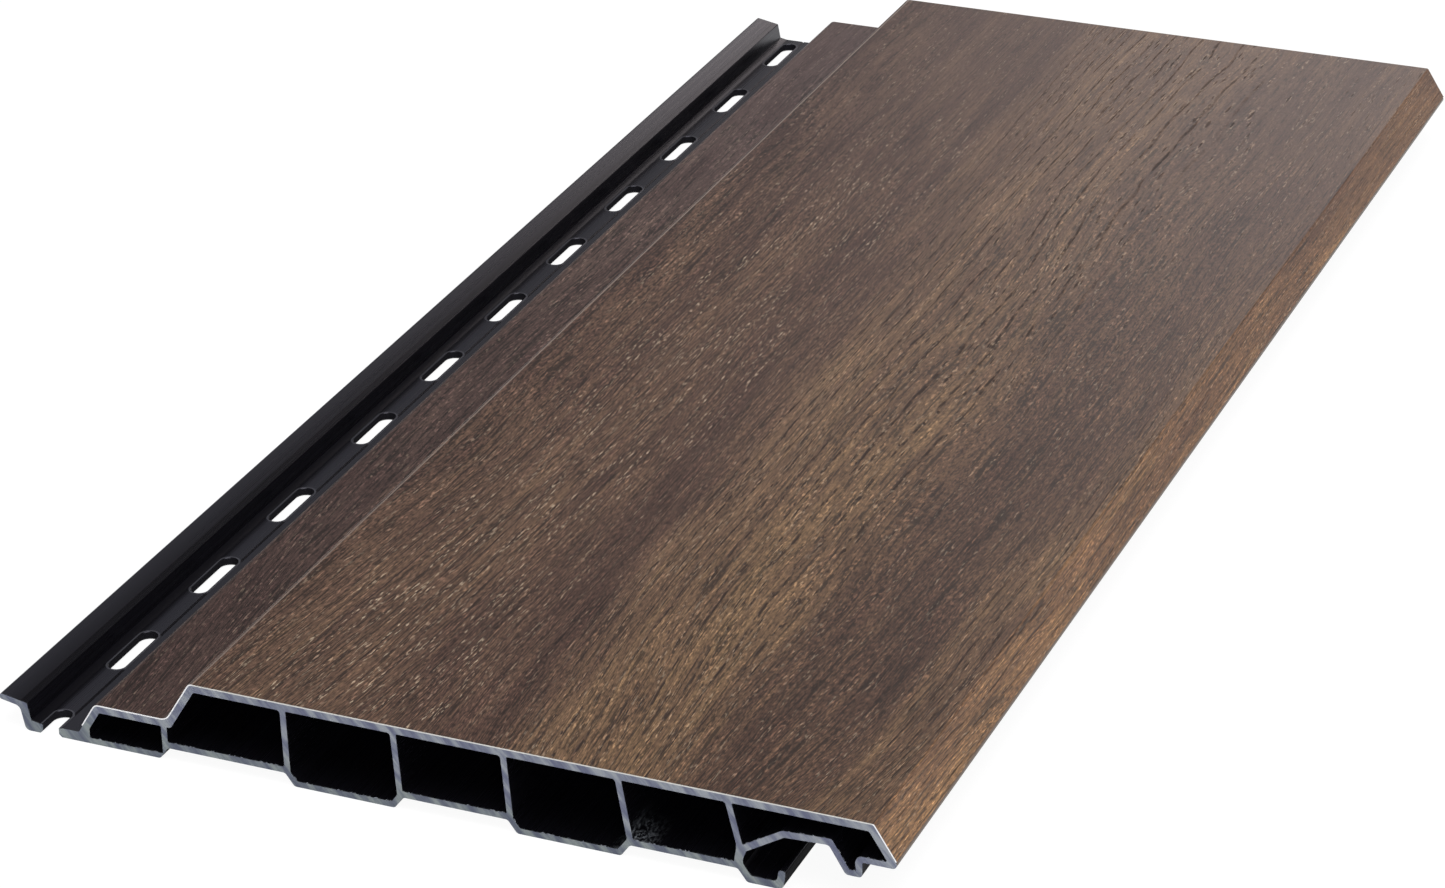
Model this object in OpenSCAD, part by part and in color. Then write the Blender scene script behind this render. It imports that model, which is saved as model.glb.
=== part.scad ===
// Hollow-chamber outdoor wall panel with a slotted nailing flange and a wood-look film.
// The panel lies face up. X runs across its width, Y along its length, Z up.
// The origin is in the middle of its outline, on the surface that it lies on.

/* [Panel] */
// Length of the panel
length = 480; // [300:1:3000]
// Width that one panel covers once it is locked to the next
cover_w = 200; // [180:1:260]
// Thickness from the face down to the low ribs
thick = 22.3; // [21.8:0.1:24]
// Slant of the sloped faces, in degrees off vertical
slope = 32; // [28:0.5:34]
// Width of the open groove between two locked panels, at its bottom
groove_w = 12.6; // [8:0.1:15]

/* [Walls] */
// Front skin below the film
skin = 1.8; // [1.4:0.1:2.2]
// Back skin between the low ribs
back_t = 1.6; // [1.2:0.1:2.2]
// Back skin of a low rib
rib_t = 1.5; // [1.2:0.1:2]
// Inner webs
web_t = 1.5; // [1.1:0.1:2]
// Height of the low ribs below the raised back skin
rib_h = 3.25; // [2.5:0.05:3.8]
// Slant of a rib's sides, in degrees off vertical
rib_slope = 36; // [30:1:42]
// Distance from the left edge of the face to the first web below the face
first_web = 25; // [20:0.5:30]

/* [Film] */
// Thickness of the wood-look film
film_t = 0.3; // [0.2:0.05:0.5]
// How far the film runs down the outer wall of the step
film_drop = 6.5; // [4:0.1:7]

/* [Step] */
// Depth of the step below the face
step_depth = 11.15; // [10.5:0.05:11.8]
// Width of the step between its sharp corners
step_w = 19.6; // [17:0.1:24]

/* [Nailing flange] */
// Thickness of the flange floor
floor_t = 2.5; // [2:0.1:3]
// Width of the flange floor between the foot of the step and the foot of the lip wall
floor_w = 12.75; // [11.5:0.05:16]
// Rise of the floor where it turns up into the lip wall
floor_turn = 0.45; // [0.2:0.05:0.8]
// Width of that turned-up strip of the floor
floor_turn_w = 2.2; // [1.5:0.1:2.6]
// Thickness of the lip wall
lip_wall_t = 2.2; // [1.8:0.1:2.6]
// Slant of the lip wall, in degrees off vertical
lip_wall_slope = 10.5; // [6:0.5:14]
// Height of the lip's fold above the surface that the panel lies on
lip_h = 7.55; // [7:0.05:8]
// Reach of the lip past its fold
lip_reach = 7.6; // [6.5:0.1:8.5]
// Thickness of the lip
lip_t = 1.5; // [1.2:0.1:1.8]
// Rise of the lip towards its tip, in degrees
lip_rise = 10.5; // [7:0.5:13]
// Width of the guide line beside the slots
guide_w = 0.8; // [0.5:0.1:1.2]
// Depth of the guide line
guide_depth = 0.25; // [0.1:0.05:0.5]

/* [Nail slots] */
// Width of a slot
slot_w = 4.5; // [4:0.1:6]
// Length of a slot
slot_l = 20; // [14:0.5:28]
// Width of the bevel that the punch pulls into a slot's upper rim
rim_top = 0.15; // [0.1:0.05:0.6]
// Width of the break-out around a slot's lower rim
rim_bottom = 0.75; // [0.1:0.05:0.9]
// Distance from the foot of the step to the middle of the slots
slot_inset = 7.5; // [6.5:0.1:9]
// Spacing of the slots within a run of punching
slot_pitch = 42; // [34:0.5:60]
// Spacing across the place where the punch started a new run
restart_pitch = 48.5; // [40:0.5:66]
// Slots in the run at the far end
far_run = 8; // [1:1:12]
// Distance from the far end to the middle of the last slot
slot_margin = 13.5; // [11:0.5:40]

/* [Locking edge] */
// Play between the edge and the step of the next panel
edge_play = 0.45; // [0.2:0.05:0.8]
// Play between the hook and the step wall of the next panel
hook_play = 0.25; // [0.1:0.05:0.8]
// Play between the bead and the lip wall of the next panel
bead_play = 0.2; // [0.1:0.05:0.8]
// Room behind the tip of the next panel's lip
lip_room = 4.15; // [3.5:0.05:5]
// Thickness of the hook
hook_t = 1.5; // [1.2:0.1:1.8]
// Depth of the hook's foot below the face
hook_depth = 14.75; // [14.2:0.05:15.4]
// Width of the hook's foot
hook_w = 4; // [3.6:0.1:4.6]
// Slant of the hook's long leg, in degrees off vertical
hook_slope = 30.5; // [27:0.5:34]
// How much thicker the hook's short leg is at its top than at its foot
hook_flare = 0.4; // [0:0.1:0.8]
// Thickness of the wall over the pocket
pocket_t = 1.7; // [1.3:0.1:2]
// Depth of the pocket's ceiling below the face, at the hook
ceiling_depth = 7.9; // [7.4:0.1:8.6]
// Rise of the ceiling towards the hook, in degrees
ceiling_rise = 2.5; // [0:0.5:4]
// Rise of the wall that climbs from the last web to the ceiling, in degrees
ramp_rise = 31.5; // [29:0.5:34]
// How far the back of the pocket bulges behind the foot of its ramp
pocket_bulge = 1.15; // [0.6:0.05:1.5]
// Thickness of the tongue below the pocket
tongue_t = 1.9; // [1.5:0.1:2.2]
// Thickness of the bead at the tongue's tip
bead_t = 1.75; // [1.4:0.05:2.1]
// Height of the bead above the surface that the panel lies on
bead_h = 4.95; // [4.4:0.05:5.4]
// Slant of the bead, in degrees off vertical
bead_slope = 8; // [4:1:12]

/* [Hidden] */

// Angle that each short side of an arc turns through
arc_step = 12;
// $fn of the slots' round ends
slot_fn = 48;
// How far a cutter reaches past the surface that it cuts
over = 1;

// Webs below the face: their places as shares of the way to the last web, and their leans
web_places = [0, 0.255, 0.505, 0.76];
web_leans = [1, 3.5, 4, 9.5];
last_lean = 13.5;
// Webs at which a chamber over a low rib starts, and over the raised back skin
rib_starts = [0, 2];
high_starts = [1];
// Side of its end web at which each low rib's outer wall ends: 1 is the web's right face
rib_ends = [1, -0.4];
// Height of the upright stretch of the wall behind the pocket
bulge_h = 0.95;

// Radii of the outside corners
r_step_top = 2;
r_step_inner = 2.8;
r_face_left = 1.5;
r_face_right = 0.8;
r_edge = 1.1;
r_hook_right = 0.9;
r_hook_left = 1.3;
r_rib = 1.1;
r_pocket = 1.2;
r_foot = 0.9;
r_floor = 1.5;
r_lip_bend = 1.8;
r_sharp = 0.3;
// Radii of the chamber corners
r_high = 0.9;
r_low = 0.35;
r_bend = 2.4;
// Share of a free edge's thickness that its two corners are rounded by
nose = 0.46;

// Heights of the main levels
z_roof = thick - film_t - skin;
z_back = rib_h + back_t;
z_step = thick - step_depth;
z_step_in = z_step - film_t - skin;
z_edge = z_step + edge_play;
z_edge_in = z_edge + hook_t;
z_hook = thick - hook_depth;
z_hook_in = z_hook + hook_t;
z_ceiling = thick - ceiling_depth;

// Left side, from the sharp left edge of the face at x = 0
run = tan(slope);
film_across = film_t / cos(slope);
wall_across = (film_t + skin) / cos(slope);
x_step = -step_depth * run;
function step_wall_x(z) = x_step - step_w - (z_step - z) * run;
function slope_in_x(z) = wall_across - (thick - z) * run;
x_foot = step_wall_x(floor_t);
z_thick_foot = floor_t + lip_t;
x_thick_foot = step_wall_x(z_thick_foot) + wall_across;

// Nailing flange
x_slots = x_foot - slot_inset;
x_guide = x_slots + (slot_w + guide_w) / 2 + guide_depth / 2;
x_lip_wall = x_foot - floor_w;
lip_wall_run = tan(lip_wall_slope);
function lip_wall_x(z) = x_lip_wall - (z - floor_t) * lip_wall_run;
function lip_wall_out_x(z) = lip_wall_x(z) - lip_wall_t / cos(lip_wall_slope);
lip = [-cos(lip_rise), sin(lip_rise)];
lip_fold = [lip_wall_x(lip_h), lip_h];
lip_tip = lip_fold + lip_reach * lip;
lip_tip_low = lip_tip + lip_t * [-lip[1], lip[0]];
lip_bend = meet(lip_tip_low, lip, [lip_wall_out_x(0), 0], [-lip_wall_run, 1]);

// Right side, which locks over the left side of the next panel
x_face_r = cover_w + x_step - groove_w - (thick - z_edge) * run;
function edge_x(z) = x_face_r + (thick - z) * run;
z_film_end = z_edge + r_edge / tan((90 - slope) / 2) * cos(slope) + film_t;
x_hook = cover_w + step_wall_x(z_hook) - hook_play;
leg = [-sin(hook_slope), cos(hook_slope)];
leg_foot = [x_hook - hook_w, z_hook];
leg_foot_in = leg_foot + hook_t * [cos(hook_slope), sin(hook_slope)];
ceiling = [-cos(ceiling_rise), -sin(ceiling_rise)];
ceiling_up = pocket_t * [-sin(ceiling_rise), cos(ceiling_rise)];
ceiling_end = [leg_foot[0] - (z_ceiling - z_hook) * tan(hook_slope), z_ceiling];

// Pocket that takes the lip of the next panel
ramp = [cos(ramp_rise), sin(ramp_rise)];
pocket = [cover_w + lip_tip[0] - lip_room, (lip_tip[1] + lip_tip_low[1]) / 2];
pocket_in = pocket + pocket_t * [-sin(ramp_rise), cos(ramp_rise)];
pocket_back = [pocket[0] - pocket_bulge, (pocket[1] + tongue_t) / 2];
rib_run = tan(rib_slope);
x_tongue = pocket_back[0] + (pocket_back[1] - tongue_t) * rib_run;
x_tongue_foot = pocket_back[0] + pocket_back[1] * rib_run - tongue_t / cos(rib_slope);
function bead_x(z) = cover_w + lip_wall_out_x(bead_h) - bead_play - (bead_h - z) * tan(bead_slope);
bead_across = bead_t / cos(bead_slope);

// Faces of the webs below the face: side is -1 for the left one and 1 for the right one
x_last_web = pocket_in[0] - (z_roof - pocket_in[1]) * tan(last_lean) - web_t / 2 / cos(last_lean);
function web_face(x, lean, z, side) = x + (z_roof - z) * tan(lean) + side * web_t / 2 / cos(lean);
function web_x(i, z, side) =
    web_face(first_web + web_places[i] * (x_last_web - first_web), web_leans[i], z, side);
function last_web_x(z, side) = web_face(x_last_web, last_lean, z, side);

// Unit vector along v
function unit(v) = v / norm(v);

// Crossing of the line from p along d with the line from q along e
function meet(p, d, q, e) = p + d * cross(q - p, e) / cross(d, e);

// Arc that rounds the corner v between a and b to radius r
function arc(a, v, b, r) =
    let (
        u = unit(a - v),
        w = unit(b - v),
        half = acos(u * w) / 2,
        mid = v + unit(u + w) * r / sin(half),
        spoke = v + u * r / tan(half) - mid,
        start = atan2(spoke[1], spoke[0]),
        turn = sign(cross(w, u)) * (180 - 2 * half),
        steps = ceil(abs(turn) / arc_step)
    )
    [for (i = [0 : steps]) mid + r * [cos(start + turn * i / steps), sin(start + turn * i / steps)]];

// Place of a corner that is kept as [x, z, radius]
function place(corner) = [corner[0], corner[1]];

// Points of a path of [x, z, radius] corners
function rounded(path) =
    let (n = len(path))
    [
        for (i = [0 : n - 1])
            each path[i][2] == 0
                ? [place(path[i])]
                : arc(place(path[(i + n - 1) % n]), place(path[i]), place(path[(i + 1) % n]), path[i][2])
    ];

// An open path moved by t to the right of its direction, with its radii fitted
function inset(path, t) =
    let (
        n = len(path),
        sides = [
            for (i = [0 : n - 2])
                let (d = unit(place(path[i + 1]) - place(path[i])))
                [d[1], -d[0]]
        ]
    )
    [
        for (i = [0 : n - 1])
            let (
                a = sides[max(0, i - 1)],
                b = sides[min(n - 2, i)],
                moved = place(path[i]) + t * (a + b) / (1 + a * b)
            )
            [moved[0], moved[1], path[i][2] + t * sign(cross(a, b))]
    ];

// Outside of the film, from its edge on the step wall to its edge above the locking edge
film_path = [
    [step_wall_x(z_step - film_drop), z_step - film_drop, 0],
    [x_step - step_w, z_step, r_step_top],
    [x_step, z_step, r_step_inner],
    [0, thick, r_face_left],
    [x_face_r, thick, r_face_right],
    [edge_x(z_film_end), z_film_end, 0]
];

// Hook and edge, from the edge's tip to the pocket's ceiling
edge_path = [
    [edge_x(z_edge) - film_across, z_edge, r_edge],
    [x_hook, z_edge, r_sharp],
    [x_hook, z_hook, r_hook_right],
    [leg_foot[0], leg_foot[1], r_hook_left],
    [ceiling_end[0], ceiling_end[1], r_hook_left]
];

// Pocket and tongue, from the ceiling to the raised back skin
ceiling_start = meet(pocket, ramp, ceiling_end, ceiling);
pocket_path = [
    [ceiling_start[0], ceiling_start[1], r_sharp],
    [pocket[0], pocket[1], r_sharp],
    [pocket_back[0], pocket_back[1], r_bend],
    [x_tongue, tongue_t, r_high],
    [bead_x(tongue_t) - bead_across, tongue_t, r_pocket],
    [bead_x(bead_h) - bead_across, bead_h, nose * bead_t],
    [bead_x(bead_h), bead_h, nose * bead_t],
    [bead_x(0), 0, r_floor],
    [x_tongue_foot, 0, r_rib],
    [x_tongue_foot - rib_h * rib_run, rib_h, r_rib]
];

// Sharp outside corners of low rib j at the raised back skin
function rib_left(j) = web_x(rib_starts[j], rib_h, -1);
function rib_right(j) = web_x(rib_starts[j] + 1, rib_h, rib_ends[j]);

// Outside of low rib j, from right to left
function rib_path(j) = [
    [rib_right(j), rib_h, r_rib],
    [rib_right(j) - rib_h * rib_run, 0, r_rib],
    [rib_left(j) + rib_h * rib_run, 0, r_rib],
    [rib_left(j), rib_h, r_rib]
];

// Nailing flange, from the rib under the step round the lip to the foot of the step
flange_path = [
    [x_step, rib_h, r_rib],
    [x_step - rib_h * rib_run, 0, r_rib],
    [lip_wall_out_x(0), 0, r_floor],
    [lip_bend[0], lip_bend[1], r_lip_bend],
    [lip_tip_low[0], lip_tip_low[1], nose * lip_t],
    [lip_tip[0], lip_tip[1], nose * lip_t],
    [lip_fold[0], lip_fold[1], r_sharp],
    [lip_wall_x(floor_t + floor_turn), floor_t + floor_turn, 0],
    [x_lip_wall + floor_turn_w, floor_t, r_floor],
    [x_guide - guide_w / 2, floor_t, 0],
    [x_guide, floor_t - guide_depth, 0],
    [x_guide + guide_w / 2, floor_t, 0],
    [x_foot + film_across, floor_t, r_foot]
];

// Chamber under the step
step_chamber = [
    [x_thick_foot, rib_t, r_low],
    [x_thick_foot, z_thick_foot, r_low],
    [step_wall_x(z_step_in) + wall_across, z_step_in, r_low],
    [x_step - web_t, z_step_in, r_low],
    [x_step - web_t, rib_t, r_low]
];

// First chamber under the face, bounded by the slope
slope_chamber = [
    [x_step, z_back, r_low],
    [x_step, z_step_in, r_low],
    [slope_in_x(z_step_in), z_step_in, r_high],
    [slope_in_x(z_roof), z_roof, r_high],
    [web_x(0, z_roof, -1), z_roof, r_high],
    [web_x(0, z_back, -1), z_back, r_low]
];

// Chamber between web i and the next, over the raised back skin
function high_chamber(i) = [
    [web_x(i, z_back, 1), z_back, r_low],
    [web_x(i, z_roof, 1), z_roof, r_low],
    [web_x(i + 1, z_roof, -1), z_roof, r_high],
    [web_x(i + 1, z_back, -1), z_back, r_low]
];

// Chamber that is let down into low rib j
function rib_chamber(j) =
    let (
        i = rib_starts[j],
        left = [rib_left(j) + rib_t / cos(rib_slope), rib_h],
        right = [rib_right(j) - rib_t / cos(rib_slope), rib_h],
        left_top = meet(left, [rib_run, -1], [web_x(i, 0, 1), 0], [-tan(web_leans[i]), 1]),
        right_top = meet(right, [-rib_run, -1], [web_x(i + 1, 0, -1), 0], [-tan(web_leans[i + 1]), 1]),
        drop = (rib_h - rib_t) * rib_run
    )
    [
        [left[0] + drop, rib_t, r_high],
        [left_top[0], left_top[1], r_high],
        [web_x(i, z_roof, 1), z_roof, r_low],
        [web_x(i + 1, z_roof, -1), z_roof, r_high],
        [right_top[0], right_top[1], r_high],
        [right[0] - drop, rib_t, r_high]
    ];

// Chamber beside the pocket, whose wall bulges out to the last web
last = len(web_places) - 1;
last_web_chamber = [
    [web_x(last, z_back, 1), z_back, r_low],
    [web_x(last, z_roof, 1), z_roof, r_low],
    [last_web_x(z_roof, -1), z_roof, r_high],
    [last_web_x(pocket_in[1], -1), pocket_in[1], r_bend],
    [last_web_x(pocket_in[1], -1), pocket_in[1] - bulge_h, r_bend],
    [x_tongue_foot - rib_h * rib_run - back_t * tan((90 - rib_slope) / 2), z_back, r_low]
];

// Chamber over the pocket, down into the hook
ramp_end = meet(pocket_in, ramp, ceiling_end + ceiling_up, ceiling);
leg_end = meet(leg_foot_in, leg, ceiling_end + ceiling_up, ceiling);
hook_well = meet(leg_foot_in, leg, [0, z_hook_in], [1, 0]);
edge_chamber = [
    [pocket_in[0], pocket_in[1], r_sharp],
    [last_web_x(z_roof, 1), z_roof, r_low],
    [edge_x(z_roof) - wall_across, z_roof, r_high],
    [edge_x(z_edge_in) - wall_across, z_edge_in, r_sharp],
    [x_hook - hook_t - hook_flare, z_edge_in, r_step_top],
    [x_hook - hook_t, z_hook_in, 0],
    [hook_well[0], hook_well[1], r_low],
    [leg_end[0], leg_end[1], r_high],
    [ramp_end[0], ramp_end[1], r_bend]
];

// Points of the whole cut face
board_points = rounded(concat(
    inset(film_path, film_t),
    edge_path,
    pocket_path,
    [for (j = [len(rib_starts) - 1 : -1 : 0]) each rib_path(j)],
    flange_path
));
film_back = rounded(inset(film_path, film_t));
film_points = concat(rounded(film_path), [for (i = [len(film_back) - 1 : -1 : 0]) film_back[i]]);
outline_x = [for (p = concat(board_points, film_points)) p[0]];
x_middle = (min(outline_x) + max(outline_x)) / 2;

// Middles of the slots along the length, from the far run to the one that the cut passes through
y_far_slot = length / 2 - slot_margin;
y_near_slot = y_far_slot - (far_run - 1) * slot_pitch - restart_pitch;
near_run = floor((y_near_slot + (length + slot_l) / 2) / slot_pitch) + 1;
slot_middles = concat(
    [for (i = [0 : far_run - 1]) y_far_slot - i * slot_pitch],
    [for (i = [0 : near_run - 1]) y_near_slot - i * slot_pitch]
);

// Half of a slot's cross-section, with its bevelled rims
slot_half = [
    [0, -over],
    [slot_w / 2 + rim_bottom + over, -over],
    [slot_w / 2, rim_bottom],
    [slot_w / 2, floor_t - rim_top],
    [slot_w / 2 + rim_top + over, floor_t + over],
    [0, floor_t + over]
];

// A flat shape of the section, drawn out along the panel's length
module along_panel() {
    translate([-x_middle, length / 2, 0])
        rotate([90, 0, 0])
            linear_extrude(length)
                children();
}

// Cutter for one nail slot that runs along the panel
module slot(y) {
    straight = slot_l - slot_w;
    translate([x_slots - x_middle, y, 0]) {
        for (end = [-1, 1])
            translate([0, end * straight / 2, 0])
                rotate_extrude($fn = slot_fn)
                    polygon(slot_half);
        translate([0, straight / 2, 0])
            rotate([90, 0, 0])
                linear_extrude(straight)
                    for (side = [0, 1])
                        mirror([side, 0, 0])
                            polygon(slot_half);
    }
}

// Extruded board with its chambers, flange and locking edge
module hollow_board() {
    color("#34353a")
        difference() {
            along_panel()
                difference() {
                    polygon(board_points);
                    polygon(rounded(step_chamber));
                    polygon(rounded(slope_chamber));
                    for (j = [0 : len(rib_starts) - 1])
                        polygon(rounded(rib_chamber(j)));
                    for (i = high_starts)
                        polygon(rounded(high_chamber(i)));
                    polygon(rounded(last_web_chamber));
                    polygon(rounded(edge_chamber));
                }
            for (y = slot_middles)
                slot(y);
        }
}

// Film laminated over the step, the slope, the face and the edge
module decor_film() {
    color("#6b5340")
        along_panel()
            polygon(film_points);
}

hollow_board();
decor_film();
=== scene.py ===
"""Looks of a hollow-chamber outdoor wall panel: black PVC, sawn ends and a film printed as smoked oak.

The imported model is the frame, and every length here is in metres unless its name ends in _mm.
"""

import logging
import math
import random
from dataclasses import dataclass
from enum import Enum

import bmesh
import bpy
from mathutils import Matrix, Vector


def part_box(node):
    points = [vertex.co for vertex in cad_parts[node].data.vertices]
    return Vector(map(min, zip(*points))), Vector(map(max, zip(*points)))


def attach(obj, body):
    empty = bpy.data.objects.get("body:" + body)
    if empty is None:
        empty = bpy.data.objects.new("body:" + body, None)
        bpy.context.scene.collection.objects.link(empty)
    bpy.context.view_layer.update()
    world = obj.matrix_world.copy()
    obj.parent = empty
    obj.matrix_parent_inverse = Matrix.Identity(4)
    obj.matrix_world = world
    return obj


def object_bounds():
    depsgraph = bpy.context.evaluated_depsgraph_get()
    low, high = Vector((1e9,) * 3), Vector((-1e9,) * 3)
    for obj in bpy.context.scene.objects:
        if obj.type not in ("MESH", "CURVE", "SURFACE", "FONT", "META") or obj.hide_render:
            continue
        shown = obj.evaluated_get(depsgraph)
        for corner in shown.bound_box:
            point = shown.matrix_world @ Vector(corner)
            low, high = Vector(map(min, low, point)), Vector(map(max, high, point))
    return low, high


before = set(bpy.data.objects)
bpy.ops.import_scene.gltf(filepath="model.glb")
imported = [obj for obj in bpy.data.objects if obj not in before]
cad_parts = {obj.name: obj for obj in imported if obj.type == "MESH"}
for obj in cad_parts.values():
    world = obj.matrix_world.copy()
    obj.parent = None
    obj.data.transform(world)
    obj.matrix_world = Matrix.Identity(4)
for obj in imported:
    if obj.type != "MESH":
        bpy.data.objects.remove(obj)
CAD_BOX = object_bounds()

LOG = logging.getLogger("panel")
MM = 0.001
BODY = "root"

Socket = bpy.types.NodeSocket
Tree = bpy.types.NodeTree
Value = float | tuple[float, ...] | Socket


def linear(hex_colour: str) -> tuple[float, float, float, float]:
    """Turn an sRGB hex colour into linear RGBA.

    Args:
        hex_colour: Six hex digits after a hash sign, such as "#6b5340".

    Returns:
        Red, green, blue and an alpha of 1, each from 0 to 1.
    """
    channels = [int(hex_colour[i:i + 2], 16) / 255 for i in (1, 3, 5)]
    light = [c / 12.92 if c <= 0.04045 else ((c + 0.055) / 1.055) ** 2.4 for c in channels]
    return (light[0], light[1], light[2], 1.0)


def add_node(tree: Tree, kind: str, inputs: dict[int | str, Value] | None = None,
             **settings: object) -> bpy.types.Node:
    """Add a node with its settings, input values and links.

    Args:
        tree: Node tree that the node goes into.
        kind: Node type without its ShaderNode prefix, such as "Math".
        inputs: Input index or name to a plain value or to the output socket that feeds it.
        settings: Properties of the node, such as operation.

    Returns:
        The new node.
    """
    node = tree.nodes.new("ShaderNode" + kind)
    for name, value in settings.items():
        setattr(node, name, value)
    for key, value in (inputs or {}).items():
        if isinstance(value, Socket):
            tree.links.new(value, node.inputs[key])
        else:
            node.inputs[key].default_value = value
    return node


class Maths:
    """Sums, readings and shaders in one node tree."""

    def __init__(self, tree: Tree) -> None:
        """Keep the tree that the nodes go into."""
        self.tree = tree

    def sum(self, operation: str, *values: Value, clamp: bool = False) -> Socket:
        """Apply one Math operation.

        Args:
            operation: Name of the operation, such as "ADD".
            values: Its inputs in order.
            clamp: Whether the result stays between 0 and 1.

        Returns:
            The result.
        """
        node = add_node(self.tree, "Math", dict(enumerate(values)), operation=operation, use_clamp=clamp)
        return node.outputs[0]

    def times(self, first: Value, second: Value) -> Socket:
        """Multiply two numbers."""
        return self.sum("MULTIPLY", first, second)

    def minus(self, first: Value, second: Value) -> Socket:
        """Take the second number from the first."""
        return self.sum("SUBTRACT", first, second)

    def gap(self, first: Value, second: Value) -> Socket:
        """Say how far apart two numbers are."""
        return self.sum("ABSOLUTE", self.minus(first, second))

    def scaled(self, value: Value, factor: Value, plus: Value, clamp: bool = False) -> Socket:
        """Multiply a number by a factor and add another number."""
        return self.sum("MULTIPLY_ADD", value, factor, plus, clamp=clamp)

    def smooth(self, value: Value, low: Value, high: Value,
               at_low: Value = 0.0, at_high: Value = 1.0) -> Socket:
        """Map a value through a smooth step.

        Args:
            value: What is mapped.
            low: Value at which the step starts.
            high: Value at which it ends.
            at_low: Result below the step.
            at_high: Result above the step.

        Returns:
            The result.
        """
        node = add_node(self.tree, "MapRange", {0: value, 1: low, 2: high, 3: at_low, 4: at_high},
                        interpolation_type="SMOOTHSTEP")
        return node.outputs[0]

    def place(self, x: Value, y: Value = 0.0, z: Value = 0.0) -> Socket:
        """Join three numbers into a vector."""
        return add_node(self.tree, "CombineXYZ", {0: x, 1: y, 2: z}).outputs[0]

    def noise(self, place: Value, detail: float = 2.0, rough: float = 0.5) -> Socket:
        """Read noise whose features are about one unit across.

        Args:
            place: Where the noise is read.
            detail: Octaves on top of the first.
            rough: Share that each octave keeps of the one before.

        Returns:
            Noise from 0 to 1, about 0.5 on average.
        """
        node = add_node(self.tree, "TexNoise",
                        {"Vector": place, "Scale": 1.0, "Detail": detail, "Roughness": rough})
        return node.outputs["Fac"]

    def blend(self, factor: Value, first: Value, second: Value, kind: str = "MIX") -> Socket:
        """Blend two colours.

        Args:
            factor: Share of the second colour.
            first: Colour at 0.
            second: Colour at 1.
            kind: Blend type.

        Returns:
            The blended colour.
        """
        node = add_node(self.tree, "Mix", {0: factor, 6: first, 7: second}, data_type="RGBA", blend_type=kind)
        return node.outputs[2]

    def ramp(self, place: Value, stops: list[tuple[float, tuple[float, ...]]], ease: bool = False) -> Socket:
        """Map a number to a colour.

        Args:
            place: The number, from 0 to 1.
            stops: Place from 0 to 1 and linear RGBA of each stop, in order.
            ease: Whether the colours ease in and out at the stops.

        Returns:
            The colour.
        """
        node = add_node(self.tree, "ValToRGB", {0: place})
        node.color_ramp.interpolation = "EASE" if ease else "LINEAR"
        elements = node.color_ramp.elements
        while len(elements) > 1:
            elements.remove(elements[-1])
        elements[0].position, elements[0].color = stops[0]
        for stop, colour in stops[1:]:
            elements.new(stop).color = colour
        return node.outputs[0]

    def object_mm(self) -> tuple[Socket, ...]:
        """Read the place on the object.

        Returns:
            X, Y and Z in millimetres.
        """
        place = add_node(self.tree, "TexCoord").outputs["Object"]
        scaled = add_node(self.tree, "VectorMath", {0: place, "Scale": 1 / MM}, operation="SCALE")
        return tuple(add_node(self.tree, "SeparateXYZ", {0: scaled.outputs[0]}).outputs)

    def shade(self, height: Value, inputs: dict[str, Value]) -> None:
        """Finish a material with a Principled shader and a relief.

        Args:
            height: Height of the relief in metres.
            inputs: The shader's input names to plain values or to the sockets that feed them.
        """
        bump = add_node(self.tree, "Bump", {"Height": height, "Distance": 1.0, "Strength": 1.0})
        shader = add_node(self.tree, "BsdfPrincipled", {**inputs, "Normal": bump.outputs[0]})
        add_node(self.tree, "OutputMaterial", {"Surface": shader.outputs["BSDF"]})


def new_material(name: str) -> tuple[bpy.types.Material, Maths]:
    """Make a material without nodes.

    Args:
        name: Name of the real material.

    Returns:
        The material, and the sums in its tree.
    """
    material = bpy.data.materials.new(name)
    material.use_nodes = True
    material.node_tree.nodes.clear()
    return material, Maths(material.node_tree)


class SawnEnd(Enum):
    """The two sawn ends, by the side of the middle that they lie on."""

    NEAR = -1
    FAR = 1


@dataclass(frozen=True)
class PanelSizes:
    """Sizes of the section in millimetres that the finishes follow.

    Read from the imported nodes, apart from the slope, which is the profile's own.
    """

    half_length: float
    thick: float
    face_left: float
    face_w: float
    step_corner: float
    step_drop: float
    film_low: float
    tip: float
    slope_deg: float = 32.0

    @classmethod
    def from_frame(cls) -> "PanelSizes":
        """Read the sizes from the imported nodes.

        Returns:
            The sizes.
        """
        _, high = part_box("decor_film")
        film = [v.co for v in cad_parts["decor_film"].data.vertices]
        top = [co.x for co in film if co.z > high.z - 0.02 * MM]
        step = [co for co in film if co.x < min(top) - 8 * MM]
        step_top = max(co.z for co in step)
        corner = min(co.x for co in step if co.z > step_top - 0.02 * MM)
        film_low = min(co.z for co in film if co.x < 0)
        return cls(half_length=high.y / MM, thick=high.z / MM, face_left=min(top) / MM,
                   face_w=(max(top) - min(top)) / MM, step_corner=corner / MM,
                   step_drop=(high.z - step_top) / MM, film_low=film_low / MM, tip=high.x / MM)

    def wrap(self) -> float:
        """Extra way along the film per millimetre of fall on a slope."""
        slope = math.radians(self.slope_deg)
        return (1 - math.sin(slope)) / math.cos(slope)

    def sawn(self, maths: Maths, y: Value) -> Socket:
        """Say where the surface is a sawn end: 1 on the ends and 0 elsewhere."""
        return maths.sum("GREATER_THAN", maths.sum("ABSOLUTE", y), self.half_length - 0.05)


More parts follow.
